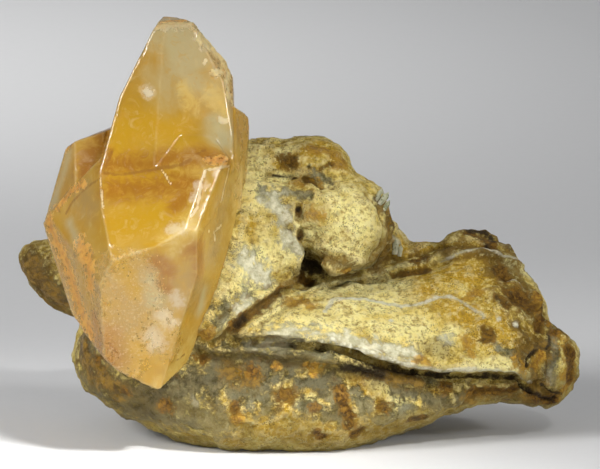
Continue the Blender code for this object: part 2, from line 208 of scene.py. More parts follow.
def copy_of_node(node, name):
    """A copy of a CAD node's mesh, its seams closed."""
    thing = object_of(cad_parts[node].data.copy(), name)
    thing.data.materials.clear()
    weld = bmesh.new()
    weld.from_mesh(thing.data)
    bmesh.ops.remove_doubles(weld, verts=weld.verts, dist=WELD * MM)
    weld.to_mesh(thing.data)
    weld.free()
    return thing


def apply_modifiers(thing):
    graph = bpy.context.evaluated_depsgraph_get()
    mesh = bpy.data.meshes.new_from_object(thing.evaluated_get(graph))
    thing.modifiers.clear()
    old = thing.data
    thing.data = mesh
    bpy.data.meshes.remove(old)


def remesh(thing, voxel):
    modifier = thing.modifiers.new("voxels", "REMESH")
    modifier.mode = "VOXEL"
    modifier.voxel_size = voxel * MM
    apply_modifiers(thing)


def smooth(thing, repeats):
    modifier = thing.modifiers.new("smooth", "SMOOTH")
    modifier.factor = 0.5
    modifier.iterations = repeats
    apply_modifiers(thing)


def store(mesh, layers):
    """Keeps each layer's values on the mesh, for the material to read, and shades the mesh smooth."""
    for name, values in layers.items():
        layer = mesh.attributes.new(name, "FLOAT", "POINT")
        layer.data.foreach_set("value", np.asarray(values, dtype=np.float32))
    mesh.shade_smooth()


def hollowness(mesh, rounds):
    """How far each vertex lies below the mean of those around it, in millimetres."""
    points, normals = points_of(mesh), normals_of(mesh)
    edges = np.empty(len(mesh.edges) * 2, dtype=np.int64)
    mesh.edges.foreach_get("vertices", edges)
    starts, ends = edges.reshape(-1, 2).T
    count = np.bincount(edges, minlength=len(points))[:, None]
    mean = points
    for _ in range(rounds):
        total = np.zeros_like(points)
        np.add.at(total, starts, mean[ends])
        np.add.at(total, ends, mean[starts])
        mean = total / count
    return ((mean - points) * normals).sum(axis=1) / MM


# Values at points

def smoothstep(values, low=0.0, high=1.0):
    t = np.clip((values - low) / (high - low), 0, 1)
    return t * t * (3 - 2 * t)


def fractal(points, size, octaves=3, seed=0.0):
    """Smooth noise from about -1 to 1 at each point, with lumps of about the given size in millimetres."""
    scale, shift = 1 / (size * MM), Vector((seed, seed * 1.7, seed * 2.3))
    return np.array([noise.fractal(Vector(p) * scale + shift, 1.0, 2.0, octaves) for p in points])


def cells(points, size, seed):
    """The distance to the nearest of points scattered about a size apart, as a share of the size."""
    scale, shift = 1 / (size * MM), Vector((seed, seed * 1.7, seed * 2.3))
    return np.array([noise.voronoi(Vector(p) * scale + shift)[0][0] for p in points])


# Marks, placed by the photograph's pixels on the surface that the camera sees there

PIXEL = FRAME_WIDTH / WIDE
# How many pixels lie between the points of a wide mark's line
STEP = 3.0
# A mark's value falls from 1 on its line to 0 this many half widths away, and is EDGE one half width away
SPREAD = 2.0
EDGE = 1 - 1 / SPREAD


def tree_of(mesh):
    points = [v.co.copy() for v in mesh.vertices]
    return BVHTree.FromPolygons(points, [tuple(p.vertices) for p in mesh.polygons])


def sight(u, v):
    """The direction in which the camera sees a pixel of the photograph."""
    across = (u - WIDE / 2) / WIDE * FRAME_WIDTH
    up = (HIGH / 2 - v) / WIDE * FRAME_WIDTH
    return (TARGET + Vector((across, 0, 0)) + UP * up - EYE).normalized()


def on_surface(tree, u, v):
    """Where the line of sight through a pixel meets a piece, or the piece's nearest point to it."""
    way = sight(u, v)
    hit = tree.ray_cast(EYE, way)[0]
    return hit or tree.find_nearest(EYE + way * DISTANCE)[0]


class Surface:
    """The vertices of one piece, with ways to spread a value round marks on it."""

    def __init__(self, mesh):
        self.points = points_of(mesh)
        self.tree = tree_of(mesh)
        self.near = KDTree(len(self.points))
        for k, point in enumerate(self.points):
            self.near.insert(point, k)
        self.near.balance()

    def line(self, pixels, step):
        """Points on the surface along a line of pixels."""
        found = []
        for (u0, v0), (u1, v1) in zip(pixels, pixels[1:] or pixels):
            steps = max(1, math.ceil(math.hypot(u1 - u0, v1 - v0) / step))
            for k in range(steps + 1):
                share = k / steps
                found.append(on_surface(self.tree, u0 + (u1 - u0) * share, v0 + (v1 - v0) * share))
        return found

    def field(self, marks):
        """For each vertex, the highest value that any of the marks gives it."""
        field = np.zeros(len(self.points))
        for half_width, *pixels in marks:
            reach = half_width * SPREAD * PIXEL
            for place in self.line(pixels, min(STEP, half_width)):
                for _, k, distance in self.near.find_range(place, reach):
                    field[k] = max(field[k], 1 - distance / reach)
        return field

    def fields(self, layers):
        return {name: self.field(marks) for name, marks in layers.items()}


def inside(values, outer, inner):
    """1 inside a layer's marks and 0 outside, with a step from outer below EDGE to inner above it."""
    return smoothstep(values, EDGE - outer, EDGE + inner)


# Calcite crystals

# The size of the remeshed crystals' faces, in millimetres
CALCITE_VOXEL = 0.33

# Each mark is a half width in pixels of the photograph, then the pixels of its line
CALCITE_MARKS = {
    "clear": [
        (34, (176, 40), (184, 66)),
        (16, (190, 82), (214, 96)),
        (12, (216, 120), (222, 140)),
        (8, (68, 158), (60, 185), (52, 205)),
        (10, (148, 280), (154, 298)),
        (7, (204, 290), (200, 310)),
        (6, (70, 224), (78, 244)),
    ],
    "gold": [
        (26, (112, 150), (132, 124), (148, 124)),
        (22, (150, 118), (180, 134)),
        (18, (114, 184), (140, 180), (168, 178)),
        (24, (120, 226), (160, 214)),
        (16, (150, 366), (140, 350)),
        (10, (86, 275), (92, 300)),
        (9, (80, 270), (98, 330)),
        (8, (56, 226), (66, 250)),
        (12, (232, 106), (244, 116), (248, 150)),
        (10, (150, 250), (180, 240)),
        (10, (140, 290), (120, 262)),
        (9, (214, 176), (208, 208), (200, 226)),
    ],
    # Amber zones, and painted shade on the ledge near the top that faces down
    "amber_and_shade": [
        (10, (106, 164), (150, 164), (172, 158)),
        (10, (186, 160), (204, 154)),
        (9, (206, 156), (228, 158)),
        (10, (92, 150), (84, 174)),
        (6, (158, 282), (166, 290)),
        (8, (94, 318), (98, 345)),
        (11, (108, 335), (116, 360)),
        (9, (156, 262), (166, 272)),
        (9, (190, 250), (200, 246), (200, 272)),
        (6, (172, 176), (196, 182)),
        (5, (110, 152), (106, 168)),
        (8, (186, 196), (176, 206)),
        (12, (112, 190), (150, 188), (186, 184)),
        (9, (104, 120), (100, 150)),
    ],
    "tan": [
        (16, (84, 196), (94, 206)),
        (14, (220, 215), (214, 250)),
        (24, (125, 280), (136, 300), (124, 340)),
        (14, (172, 290), (184, 300)),
        (12, (190, 276), (200, 300)),
        (12, (112, 345), (130, 355)),
    ],
    # Honey zones, partly a painted glow of light along the crystals' right edge
    "honey_and_glow": [
        (9, (240, 176), (238, 205), (232, 240), (222, 275), (212, 305), (204, 335)),
        (13, (190, 345), (178, 366), (168, 380)),
        (10, (214, 96), (228, 112)),
        (12, (190, 226), (176, 240)),
        (7, (184, 88), (192, 104)),
    ],
    "rust": [
        (10, (46, 214), (52, 232), (62, 254)),
        (11, (64, 258), (72, 282), (78, 304), (90, 332)),
        (9, (80, 246), (88, 262), (90, 285)),
        (3.5, (155, 24), (165, 21), (188, 20)),
        (3, (97, 131)),
        (3, (70, 144), (67, 149)),
        (4, (58, 206), (72, 190), (84, 184)),
        (5, (210, 160), (224, 160)),
    ],
    "frost": [
        (26, (122, 285), (134, 310), (124, 335)),
        (18, (112, 320), (128, 358)),
        (15, (138, 268), (148, 300)),
        (10, (78, 262), (86, 300), (96, 330)),
        (9, (202, 36), (220, 62), (230, 84)),
        (6, (158, 24), (190, 24)),
        (9, (240, 112), (246, 150), (240, 190)),
        (12, (160, 320), (172, 350)),
    ],
    "scar": [
        (1.3, (229, 166), (206, 170), (201, 182), (199, 198), (197, 208), (191, 216)),
        (1.2, (229, 169), (225, 184), (221, 202)),
        (0.8, (162, 170), (171, 184)),
        (1.6, (221, 226), (214, 232), (215, 240)),
        (1.6, (209, 231)),
        (3, (146, 90), (149, 93)),
        (1.2, (154, 90)),
        (3, (221, 119), (225, 121)),
        (1.6, (205, 45), (214, 52)),
        (1.2, (216, 70), (229, 72), (227, 80), (229, 92), (235, 104)),
        (1.4, (206, 60), (204, 64)),
        (0.9, (100, 178), (103, 208)),
    ],
    "chipped": [
        (8, (202, 36), (214, 50), (224, 62), (231, 72)),
        (6, (229, 74), (226, 84), (228, 94), (236, 106)),
        (3.5, (214, 73), (224, 71), (232, 73)),
        (4, (155, 23), (170, 22), (188, 21)),
    ],
    "seam": [
        (1.4, (104, 173), (120, 175), (140, 172), (159, 169)),
        (2.0, (160, 168), (178, 166), (190, 160)),
        (1.2, (100, 178), (86, 188), (72, 202), (66, 214)),
        (1.4, (177, 360), (184, 355)),
        (1.2, (205, 150), (196, 154)),
        (2.2, (97, 131), (103, 130)),
        (1.8, (69, 148), (72, 143)),
        (1.2, (112, 152), (106, 166)),
        (1.0, (56, 206), (60, 212)),
    ],
    "milky": [
        (6, (173, 228), (181, 229)),
        (6, (175, 297), (178, 303)),
        (7, (163, 314), (167, 322)),
        (8, (152, 336), (158, 344)),
        (4, (176, 322)),
        (3, (197, 184), (193, 200)),
        (5, (146, 90), (149, 93)),
    ],
}


def calcite_piece():
    thing = copy_of_node("calcite_crystals", "calcite_crystals_skin")
    cad = tree_of(thing.data)
    remesh(thing, CALCITE_VOXEL)
    mesh = thing.data
    put_back(mesh, np.array([cad.find_nearest(Vector(p))[0] for p in points_of(mesh)]))
    smooth(thing, 2)
    mesh = thing.data
    surface = Surface(mesh)
    points, normals = surface.points, normals_of(mesh)
    layers = surface.fields(CALCITE_MARKS)
    layers["edge"] = smoothstep(-hollowness(mesh, 2), 0.015, 0.06)
    etched = inside(layers["frost"], 0.2, 0.3)
    rusty = inside(layers["rust"], 0.2, 0.3)
    nicked = inside(layers["chipped"], 0.3, 0.3)

    # Heights in millimetres: waves on the faces, etching, rust, chips and broken edges
    height = 0.05 * fractal(points, 5.0)
    height += 0.045 * etched * fractal(points, 0.9, octaves=2, seed=2.0)
    height += rusty * (0.16 * fractal(points, 1.6, seed=4.0) - 0.10)
    height -= nicked * (0.10 + 0.60 * smoothstep(cells(points, 1.5, seed=6.0), 0.6, 0.0))
    height -= layers["edge"] * 0.16 * smoothstep(fractal(points, 2.2, seed=8.0), 0.05, 0.6)
    put_back(mesh, points + normals * (height * MM)[:, None])
    store(mesh, layers)
    return thing


# The crystals' colours, in linear red, green and blue
HONEY_DARK, HONEY_LIGHT = (0.56, 0.32, 0.026), (0.63, 0.40, 0.070)
TAN, GOLD, AMBER_AND_SHADE = (0.50, 0.32, 0.08), (0.60, 0.34, 0.008), (0.42, 0.18, 0.010)
# Of the next two colours, the second is a painted glow of light shining through the crystals
CLEAR, PAINTED_GLOW = (0.60, 0.51, 0.25), (0.93, 0.68, 0.18)
WISP, MOTTLE = (0.86, 0.67, 0.28), (0.66, 0.36, 0.04)
# The first colour on the next line is painted glints on etched grains
PAINTED_GLINT, ETCHED = (0.98, 0.82, 0.42), (0.62, 0.38, 0.08)
FILM_DARK, FILM_LIGHT = (0.68, 0.25, 0.02), (1.0, 0.56, 0.09)
CHIP_AND_GLINT, SCAR, MILK = (1.0, 0.84, 0.38), (0.98, 0.87, 0.55), (0.97, 0.88, 0.66)
SEAM, WORN_EDGE = (0.34, 0.15, 0.02), (0.97, 0.84, 0.48)
# What the clear calcite absorbs light to, how strongly, and how much it bends light
DEPTH_COLOUR, DEPTH_DENSITY, CALCITE_IOR = (0.98, 0.84, 0.42), 30.0, 1.55
CLEARNESS = 0.5


def calcite_look():
    look = Maker("calcite")
    cloud = look.noise(7.0, detail=4.0, distortion=0.4)
    wisps = look.noise(2.6, detail=5.0, rough=0.65, distortion=1.2)
    mottle = look.noise(1.3, detail=4.0, rough=0.6, distortion=0.8)
    ragged = look.noise(1.1, detail=5.0, rough=0.7)
    fine = look.noise(0.45, rough=0.6)
    etched = look.layer("frost", ragged, wobble=2.5, soft=0.6)
    rusty = look.layer("rust", ragged, wobble=3.0, soft=0.6)
    chipped = look.layer("chipped", ragged, wobble=3.0, soft=0.5)
    scar = look.layer("scar", ragged, wobble=2.0, soft=0.7)

    # The zones inside the crystals
    colour = look.shades(cloud, HONEY_DARK, HONEY_LIGHT)
    colour = look.over(colour, TAN, look.layer("tan", wisps, wobble=1.5, soft=0.9))
    colour = look.over(colour, GOLD, look.layer("gold", wisps, wobble=2.0, soft=0.9))
    # Amber zones, partly painted shade on the ledge that faces down
    colour = look.over(colour, AMBER_AND_SHADE, look.layer("amber_and_shade", wisps, wobble=2.0, soft=0.9))
    colour = look.over(colour, CLEAR, look.layer("clear", cloud, wobble=1.5, soft=1.0))
    # A painted glow of light through the crystals, over the honey zones
    colour = look.over(colour, PAINTED_GLOW, look.layer("honey_and_glow", wisps, wobble=2.0, soft=1.0), 0.6)
    colour = look.over(colour, WISP, look.ramp(wisps, 0.50, 0.72, to_high=0.28))
    colour = look.over(colour, MOTTLE, look.ramp(mottle, 0.52, 0.70, to_high=0.35))

    # Etching with painted glints on its grains, the film of rust, chips with painted glints, scars, milky
    # spots, seams and edges
    # Painted glints on the bright grains of the etched faces
    colour = look.over(colour, PAINTED_GLINT, etched, look.ramp(fine, 0.54, 0.64, to_high=0.45))
    colour = look.over(colour, ETCHED, etched, look.ramp(fine, 0.48, 0.38, to_high=0.55))
    colour = look.over(colour, look.shades(ragged, FILM_DARK, FILM_LIGHT, 0.40, 0.60), rusty, 0.8)
    # Paler chips, with painted glints of light on their broken facets
    colour = look.over(colour, CHIP_AND_GLINT, chipped, look.ramp(ragged, 0.40, 0.56, 0.25, 0.95))
    colour = look.over(colour, SCAR, scar, 0.55)
    colour = look.over(colour, MILK, look.layer("milky", ragged, wobble=2.5, soft=0.9), 0.45)
    colour = look.over(colour, SEAM, look.layer("seam", ragged, wobble=2.0, soft=0.7), 0.7)
    colour = look.over(colour, WORN_EDGE, look.attribute("edge"), 0.18)

    rough = look.mix_values(etched, look.ramp(wisps, 0.35, 0.7, 0.12, 0.26), 0.38)
    rough = look.mix_values(rusty, rough, 0.5)
    rough = look.mix_values(look.most(scar, chipped), rough, 0.45)
    grainy = look.most(look.most(etched, rusty), chipped)
    depth = look.math("MULTIPLY_ADD", wisps, 0.3, look.times(grainy, fine))
    absorb = look.node("VolumeAbsorption", {"Color": DEPTH_COLOUR, "Density": DEPTH_DENSITY})
    return look.finish(
        volume=absorb.outputs["Volume"], Base_Color=colour, Roughness=rough, IOR=CALCITE_IOR,
        Transmission_Weight=CLEARNESS, Normal=look.bump(depth, 0.16),
    )


# Matrix stone

# The size of the remeshed stone's faces, in millimetres
STONE_VOXEL = 0.46

# Grooves and ridges: height in millimetres, half width in pixels, then the pixels along it
RELIEF = [
    (-1.0, 7, (286, 290), (262, 306), (246, 317), (226, 335), (212, 345)),
    (0.8, 6, (292, 281), (262, 295), (244, 306), (224, 321), (208, 333)),
    (0.7, 5, (300, 297), (262, 319), (240, 335)),
    (-0.4, 4, (268, 175), (285, 176), (300, 178)),
    (-1.8, 5, (304, 179), (314, 181), (322, 186)),
    (-1.0, 6, (298, 205), (297, 211), (300, 218)),
    (-1.4, 7, (300, 232), (303, 238), (307, 244)),
    (0.8, 7, (294, 206), (290, 220), (296, 228), (292, 240), (300, 252), (297, 268), (293, 284)),
    (0.6, 8, (312, 250), (322, 244), (345, 252), (362, 262)),
    (-0.5, 5, (318, 258), (326, 254), (340, 262)),
    (0.7, 6, (283, 299), (331, 284), (358, 278), (384, 272), (413, 264), (445, 254), (474, 252),
     (500, 256), (517, 262), (539, 280)),
    (-0.9, 7, (340, 272), (372, 266), (400, 258), (432, 248), (455, 243), (474, 243), (502, 247),
     (518, 254)),
    (-1.2, 6, (319, 346), (352, 354), (384, 366), (413, 371)),
    (-0.8, 4, (413, 371), (440, 376), (466, 375), (515, 377), (535, 393), (556, 405)),
    (0.6, 6, (262, 340), (319, 338), (352, 345), (384, 357), (413, 364), (440, 368), (466, 367),
     (515, 369), (530, 378)),
    (0.5, 5, (330, 352), (352, 362), (380, 372)),
    (-0.7, 5, (350, 366), (368, 374), (392, 380)),
    (-0.6, 4, (458, 409), (476, 393), (506, 392), (521, 384), (542, 401)),
    (0.4, 3, (452, 402), (474, 386), (504, 385)),
    (0.5, 5, (300, 306), (326, 304), (333, 301), (366, 299)),
    (0.7, 5, (372, 190), (384, 205), (391, 225), (388, 248), (378, 264)),
    (-0.6, 4, (366, 192), (378, 207), (385, 226), (381, 246), (370, 260)),
    (1.5, 10, (542, 288), (551, 303), (557, 318)),
    (0.7, 8, (486, 234), (500, 240), (513, 253)),
    (-2.0, 8, (398, 226), (408, 240)),
    (-0.9, 8, (252, 142), (268, 141), (282, 141)),
    (-1.5, 7, (77, 345), (76, 358)),
    (0.6, 3, (546, 292), (549, 300)),
    (0.8, 4, (562, 320), (568, 334)),
    (-0.7, 3, (555, 306), (560, 312)),
    (-0.7, 3, (566, 343), (574, 340)),
    (0.6, 4, (572, 350), (575, 358)),
    (-0.5, 3, (548, 350), (546, 372), (552, 390)),
    (-0.7, 3, (536, 350), (528, 358), (527, 366)),
    (0.6, 5, (102, 338), (98, 352)),
    (-0.6, 4, (98, 362), (104, 368)),
    (0.5, 5, (235, 418), (262, 424), (286, 414)),
]

# Each mark is a half width in pixels of the photograph, then the pixels of its line
STONE_MARKS = {
    # Cream zones, some placed to paint light where the stone lies in shadow
    "cream_and_light": [
        (9, (256, 152), (252, 166)),
        (6, (282, 176), (300, 176)),
        (6, (280, 152), (296, 148)),
        (30, (344, 206), (352, 228)),
        (16, (306, 222), (326, 240), (352, 248)),
        (14, (252, 145), (252, 165)),
        (10, (266, 183), (290, 180)),
        (22, (300, 326), (340, 322)),
        (26, (345, 308), (380, 300)),
        (18, (380, 325), (420, 330)),
        (16, (255, 158), (262, 200)),
        (16, (326, 290), (372, 284)),
        (14, (372, 282), (396, 284)),
        (22, (262, 255), (246, 285)),
        (16, (350, 288), (372, 286)),
        (10, (284, 246), (290, 258)),
        (9, (280, 305), (262, 322)),
        (10, (470, 367), (510, 367)),
        (8, (392, 398), (404, 404)),
        (8, (376, 384), (386, 390)),
        (8, (506, 262), (528, 276)),
        (9, (452, 332), (440, 350)),
        (2.5, (440, 261), (463, 252), (479, 250), (500, 256), (519, 260), (538, 275), (543, 284)),
        (2.5, (283, 299), (331, 284), (358, 278), (384, 272), (413, 264), (440, 258)),
        (4, (466, 365), (490, 364), (514, 362)),
        (6, (312, 400), (300, 404)),
        (8, (108, 356), (102, 345)),
    ],
    "golden": [
        (26, (430, 278), (455, 272), (488, 276)),
        (26, (458, 315), (500, 338)),
        (14, (392, 250), (425, 242), (440, 238)),
        (18, (270, 158), (300, 172)),
        (12, (240, 424), (300, 436), (390, 430)),
        (26, (240, 398), (290, 408), (370, 404)),
        (14, (345, 392), (352, 425)),
        (10, (284, 416), (310, 398)),
        (12, (515, 340), (530, 330), (540, 350)),
        (10, (252, 205), (252, 240)),
        (14, (306, 150), (322, 147), (336, 155)),
        (6, (158, 424), (190, 434), (240, 444)),
        (12, (420, 395), (450, 396)),
        (8, (330, 158), (342, 166)),
    ],
    "umber": [
        (22, (512, 292), (526, 302), (540, 322)),
        (17, (506, 270), (520, 286)),
        (11, (500, 262), (490, 272)),
        (9, (548, 308), (560, 322)),
        (8, (572, 350), (573, 380)),
        (9, (536, 338), (544, 352)),
        (8, (532, 366), (538, 384)),
        (7, (562, 392), (552, 402)),
        (11, (432, 236), (462, 228), (496, 236), (512, 252)),
        (8, (470, 396), (510, 392), (540, 402), (560, 408)),
        (11, (376, 262), (386, 248), (391, 226), (386, 205)),
        (7, (322, 258), (338, 262), (350, 267)),
        (12, (80, 350), (92, 372), (116, 388)),
        (19, (26, 262), (38, 288), (58, 305)),
        (7, (300, 276), (286, 284)),
        (8, (420, 380), (400, 376), (370, 372)),
        (10, (250, 378), (230, 372)),
        (8, (518, 326), (530, 345), (520, 360)),
    ],
    # Painted shade, darkening the keel under the shelf's lip and other places
    "shaded": [
        (16, (96, 372), (122, 386), (146, 398)),
        (10, (262, 352), (276, 354)),
        (10, (430, 348), (446, 350)),
        (24, (85, 345), (95, 375), (120, 392), (160, 398)),
        (26, (200, 380), (240, 372), (290, 364)),
        (14, (110, 400), (150, 412)),
        (10, (500, 395), (560, 404)),
        (10, (540, 330), (552, 350), (545, 370)),
        (14, (300, 384), (345, 375), (400, 385), (440, 390)),
        (10, (470, 390), (520, 390), (556, 402)),
        (11, (425, 386), (460, 390)),
        (12, (90, 372), (118, 384)),
        (12, (524, 352), (540, 346), (548, 336)),
        (12, (484, 234), (508, 245)),
        (18, (28, 262), (42, 285), (60, 300)),
    ],
    "grey": [
        (24, (85, 345), (95, 375), (120, 395), (150, 405)),
        (29, (150, 398), (200, 382), (240, 374), (280, 362)),
        (12, (236, 394), (262, 386)),
        (8, (330, 372), (338, 382)),
        (16, (130, 408), (170, 418), (215, 424)),
        (9, (300, 405), (330, 414)),
        (14, (236, 392), (262, 402)),
        (10, (330, 398), (342, 420)),
        (9, (440, 402), (470, 394)),
        (8, (380, 420), (410, 408)),
        (9, (250, 350), (290, 352), (330, 358)),
        (9, (300, 384), (330, 378)),
        (9, (350, 395), (366, 410)),
        (9, (398, 390), (420, 396), (440, 404)),
        (8, (372, 374), (400, 380), (432, 382)),
        (8, (264, 192), (275, 200), (282, 215), (288, 240)),
        (8, (286, 240), (300, 250)),
        (12, (246, 258), (262, 278)),
        (9, (244, 296), (228, 310), (220, 320)),
        (7, (285, 190), (305, 194)),
        (6, (314, 176), (326, 180)),
        (9, (262, 343), (290, 330), (320, 332), (350, 339), (380, 348), (412, 354)),
        (5, (498, 348), (512, 353)),
        (4, (526, 354), (546, 342)),
        (8, (552, 330), (554, 350), (549, 380)),
        (7, (447, 339)),
        (4, (516, 324)),
        (14, (30, 262), (45, 285), (60, 300)),
        (5, (378, 200), (388, 215), (392, 236)),
        (5, (386, 190)),
        (5, (396, 240)),
    ],
    "pale": [
        (10, (262, 343), (290, 330), (320, 332), (350, 339), (380, 348), (412, 354)),
        (7, (447, 339)),
        (6, (516, 325), (499, 319)),
        (13, (248, 262), (264, 278)),
        (4, (196, 401)),
        (5, (386, 190)),
        (5, (396, 240)),
        (6, (244, 300), (236, 308)),
        (15, (276, 208), (288, 236)),
        (8, (300, 262), (284, 268)),
        (5, (315, 240), (324, 236)),
        (3, (554, 336), (555, 346)),
        (3, (551, 372), (549, 384)),
    ],
    "brown": [
        (6, (280, 293), (262, 305), (246, 317), (230, 332)),
        (9, (284, 161), (290, 162)),
        (4, (330, 164), (322, 168)),
        (5, (299, 211)),
        (6, (302, 237)),
        (6, (309, 283), (298, 278)),
        (5, (394, 276), (412, 273), (427, 270)),
        (5, (416, 262), (424, 258)),
        (10, (510, 292), (518, 298), (524, 306)),
        (6, (500, 298), (506, 304)),
        (6, (538, 298), (541, 313), (538, 329)),
        (8, (489, 331), (486, 338)),
        (6, (484, 238), (494, 246)),
        (5, (466, 232), (474, 234)),
        (9, (166, 406)),
        (6, (100, 357)),
        (11, (286, 396)),
        (6, (315, 409)),
        (6, (234, 408)),
        (8, (383, 407)),
        (6, (126, 393)),
        (8, (447, 387)),
        (7, (569, 352), (572, 366), (570, 380)),
        (6, (556, 324), (562, 334)),
        (5, (470, 392), (506, 391), (521, 387), (540, 400), (556, 405)),
        (6, (203, 360)),
        (8, (500, 270), (506, 278)),
        (5, (360, 430), (352, 436)),
        (5, (412, 420), (424, 416)),
        (8, (252, 371)),
        (7, (341, 392), (344, 405), (350, 424)),
        (6, (322, 437), (316, 434)),
    ],
    "orange": [
        (5, (210, 331), (206, 337)),
        (6, (284, 304), (306, 302)),
        (7, (309, 306)),
        (8, (312, 214), (320, 218)),
        (7, (316, 184), (300, 182)),
        (5, (345, 162), (334, 166)),
        (7, (308, 148), (322, 150), (334, 156)),
        (5, (277, 367)),
        (8, (315, 366)),
        (7, (320, 436)),
        (5, (345, 396), (350, 420)),
        (6, (237, 419)),
        (5, (416, 362), (428, 362)),
        (11, (568, 342), (571, 365), (567, 388)),
        (5, (540, 356), (534, 366)),
        (5, (558, 316), (564, 326)),
        (3, (340, 272), (354, 272)),
        (6, (549, 298), (552, 310)),
        (6, (468, 296), (476, 293)),
        (6, (466, 340), (470, 352)),
        (6, (524, 370), (516, 364)),
        (3, (232, 324), (226, 332)),
    ],
    # Dark cracks and pits, and painted shade in the crevice under the shelf's lip
    "dark": [
        (6, (345, 367), (362, 370), (380, 374)),
        (4, (319, 348), (352, 358), (384, 369), (413, 372)),
        (2.2, (413, 372), (440, 377), (466, 376), (515, 378), (535, 393), (556, 405)),
        (2, (308, 181), (315, 182), (322, 187)),
        (10, (304, 262), (318, 267)),
        (2.5, (309, 166)),
        (3, (299, 209)),
        (3, (246, 317), (238, 324)),
        (2.5, (303, 238)),
        (0.8, (272, 175), (285, 176), (298, 179)),
        (2.5, (487, 242), (491, 248)),
        (3, (468, 230), (484, 234), (494, 240)),
        (1.5, (290, 268), (294, 276)),
        (2, (438, 376), (450, 372)),
        (2.2, (536, 350), (528, 358), (527, 366)),
        (1.6, (548, 334), (550, 344), (545, 350)),
        (1.4, (541, 384), (552, 392), (562, 394)),
    ],
    "vein": [
        (1.2, (440, 262), (463, 253), (479, 250), (500, 256), (519, 260), (534, 270)),
        (2.0, (325, 311), (333, 301), (366, 299), (384, 303), (401, 306), (425, 303), (439, 297),
         (450, 297)),
        (3, (450, 297)),
        (1.9, (450, 297), (462, 301), (484, 317)),
        (2.5, (391, 321)),
        (2.5, (499, 319)),
        (3, (516, 325)),
        (1.9, (331, 339), (384, 358), (413, 366), (440, 370), (466, 369), (515, 371), (530, 381)),
    ],
}

# In millimetres: how near the crystals the stone starts to be drawn to them, where it reaches them,
# and how deep in them it then ends
GAP_REACH, GAP_CLOSED, GAP_DEPTH = 1.6, 0.9, 0.25
# Where the rugged right end starts and is at its roughest, in millimetres along the specimen
RUGGED_END = 30, 46


def close_to_calcite(points):
    """Draws the stone that is close to the crystals up to them, because they grew on it with no gap."""
    calcite_tree = tree_of(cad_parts["calcite_crystals"].data)
    for k, point in enumerate(points):
        near, normal, _, distance = calcite_tree.find_nearest(Vector(point), GAP_REACH * MM)
        if near is None:
            continue
        share = min(1.0, (GAP_REACH * MM - distance) / ((GAP_REACH - GAP_CLOSED) * MM))
        points[k] = Vector(point).lerp(near - normal * GAP_DEPTH * MM, share * share * (3 - 2 * share))
    return points


def stone_piece():
    thing = copy_of_node("matrix_stone", "matrix_stone_skin")
    remesh(thing, STONE_VOXEL)
    smooth(thing, 6)
    mesh = thing.data
    surface = Surface(mesh)
    points, normals = surface.points, normals_of(mesh)
    layers = surface.fields(STONE_MARKS)
    waxy = inside(layers["grey"], 0.2, 0.2)
    crust = 1 - waxy
    crumbly = crust * inside(layers["cream_and_light"], 0.0, 0.4)
    rugged = smoothstep(points[:, 0] / MM, *RUGGED_END)

    # Heights in millimetres: grooves and ridges, lumps, the crust's grain and pits, waves in the
    # waxy stone, the cream crust's small pits, and the hollows that brown stains lie in
    height = np.zeros(len(points))
    for amount, half_width, *pixels in RELIEF:
        height += amount * smoothstep(surface.field([(half_width / SPREAD, *pixels)]))
    height += (0.38 + 0.2 * rugged) * fractal(points, 3.6)
    height += crust * 0.22 * fractal(points, 1.5, octaves=4, seed=5.0)
    height -= crust * 0.18 * smoothstep(cells(points, 1.3, seed=3.0), 0.35, 0.0)
    height += waxy * 0.16 * fractal(points, 2.4, octaves=2, seed=9.0)
    height -= crumbly * 0.22 * smoothstep(cells(points, 1.1, seed=7.0), 0.4, 0.0)
    height -= 0.25 * inside(layers["brown"], 0.1, 0.3)

    # What the photograph shows, and what faces down and isn't cream
    layers["seen"] = smoothstep(normals @ np.array(BACK), -0.1, 0.25)
    # Painted shade goes on what faces down
    layers["under"] = smoothstep(normals[:, 2], 0.30, -0.25) * (1 - smoothstep(layers["cream_and_light"], 0.3, 0.7))
    put_back(mesh, close_to_calcite(points + normals * (height * MM)[:, None]))
    layers["hollow"] = hollowness(mesh, 3)
    store(mesh, layers)
    return thing


# The stone's colours, in linear red, green and blue
CRUST_LIGHT, CRUST_DARK = (0.84, 0.64, 0.15), (0.56, 0.39, 0.07)
BACK_PATCH, BACK_CRUST = (0.90, 0.76, 0.33), (0.74, 0.62, 0.33)
# The second colour on the next line is cream, partly painted light
GOLDEN, CREAM_AND_LIGHT = (0.60, 0.36, 0.022), (1.0, 0.88, 0.36)
TAWNY, STRAW = (0.50, 0.30, 0.045), (0.92, 0.78, 0.28)
GRIT_DARK, GRIT_LIGHT = (0.33, 0.19, 0.018), (0.98, 0.87, 0.38)
# The first colour on the next line is a painted highlight on raised grains
RAISED_HIGHLIGHT, PORE = (0.97, 0.88, 0.50), (0.13, 0.07, 0.009)
WAX_DARK, WAX_LIGHT, WAX_CLOUD = (0.10, 0.085, 0.030), (0.27, 0.235, 0.115), (0.21, 0.195, 0.11)
STREAK_LIGHT, STREAK_DARK = (0.38, 0.34, 0.19), (0.07, 0.050, 0.014)
WHITE_DARK, WHITE_LIGHT = (0.46, 0.43, 0.27), (0.72, 0.68, 0.47)
# Painted shade for what faces down
UNDER_SHADE_DARK, UNDER_SHADE_LIGHT = (0.10, 0.070, 0.016), (0.26, 0.19, 0.050)
# A tint that multiplies in painted shade
PAINTED_SHADE_TINT = (0.52, 0.48, 0.40)
UMBER_DARK, UMBER_LIGHT = (0.085, 0.042, 0.004), (0.27, 0.155, 0.020)
ORANGE_DARK, ORANGE_LIGHT = (0.28, 0.12, 0.008), (0.56, 0.32, 0.035)
RUST_DARK, RUST_LIGHT = (0.065, 0.025, 0.002), (0.25, 0.125, 0.012)
VEIN_DARK, VEIN_LIGHT = (0.50, 0.47, 0.33), (0.80, 0.76, 0.57)
